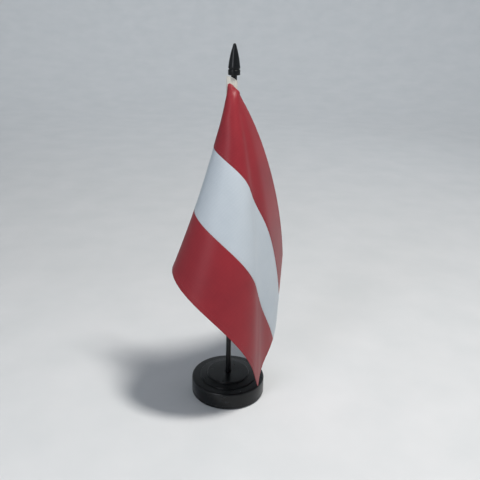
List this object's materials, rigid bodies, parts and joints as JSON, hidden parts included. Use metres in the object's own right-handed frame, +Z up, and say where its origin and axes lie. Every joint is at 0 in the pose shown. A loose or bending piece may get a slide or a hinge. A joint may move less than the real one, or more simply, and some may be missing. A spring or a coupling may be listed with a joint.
{
  "type": "desk flag stand",
  "caption": "Small desk flag on a slim pole with a spear finial, standing in a weighted round base with a stepped top.",
  "frame": {"origin": "centre of the underside of the foot pad, on the axis of the pole", "axes": "+Z up along the pole, -Y is the side the stand is seen from, +X is to the right from there"},
  "size_m": [0.0958, 0.1523, 0.2944],
  "materials": {
    "black_abs": "glossy moulded",
    "steel": "bare",
    "foam": "matte",
    "white_tape": "woven",
    "red_cloth": "satin woven",
    "white_cloth": "satin woven"
  },
  "bodies": {
    "base": {"base_shell": "black_abs", "ballast_ring": "steel", "base_cover": "black_abs", "foot_pad": "foam"},
    "pole": {"pole": "black_abs"},
    "flag": {"pole_sleeve": "white_tape", "upper_red_band": "red_cloth", "white_band": "white_cloth", "lower_red_band": "red_cloth"},
    "finial": {"finial": "black_abs"}
  },
  "joints": [
    {"name": "pole_lift", "type": "slide", "parent": "base", "child": "pole", "axis": [0, 0, 1], "range_m": [0, 0.02]},
    {"name": "flag_turn", "type": "hinge", "parent": "pole", "child": "flag", "pos_m": [0, 0, 0.2], "axis": [0, 0, 1], "continuous": true},
    {"name": "finial_pull", "type": "slide", "parent": "pole", "child": "finial", "axis": [0, 0, 1], "range_m": [0, 0.015]}
  ]
}
